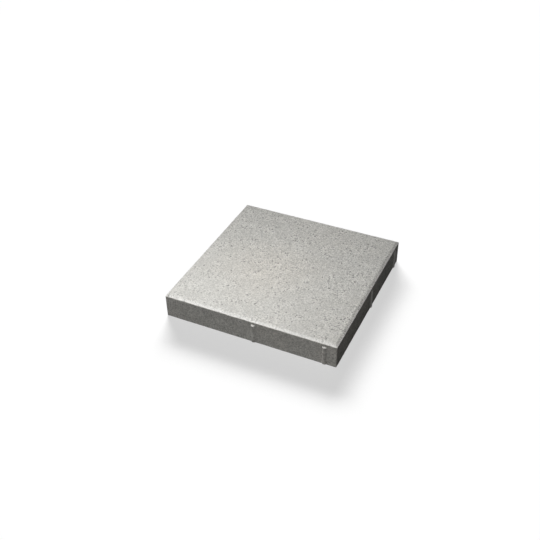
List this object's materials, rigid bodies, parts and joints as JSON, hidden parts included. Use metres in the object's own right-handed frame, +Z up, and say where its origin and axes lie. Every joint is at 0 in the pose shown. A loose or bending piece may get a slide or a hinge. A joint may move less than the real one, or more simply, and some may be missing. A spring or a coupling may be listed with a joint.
{
  "type": "concrete paving slab",
  "caption": "Square pressed concrete paving slab with a chamfered wearing face and half-round spacer nibs along its sides, laid flat on a bed with narrow joints.",
  "frame": {"origin": "middle of the bed face, on the surface that the slab lies on", "axes": "+Z up out of the wearing face, +X and +Y along the sides; the nibs of each side lie past its middle, counter-clockwise seen from above"},
  "size_m": [0.352, 0.352, 0.05],
  "materials": {
    "concrete": "matte"
  },
  "bodies": {
    "root": {"slab": "concrete"}
  },
  "joints": []
}
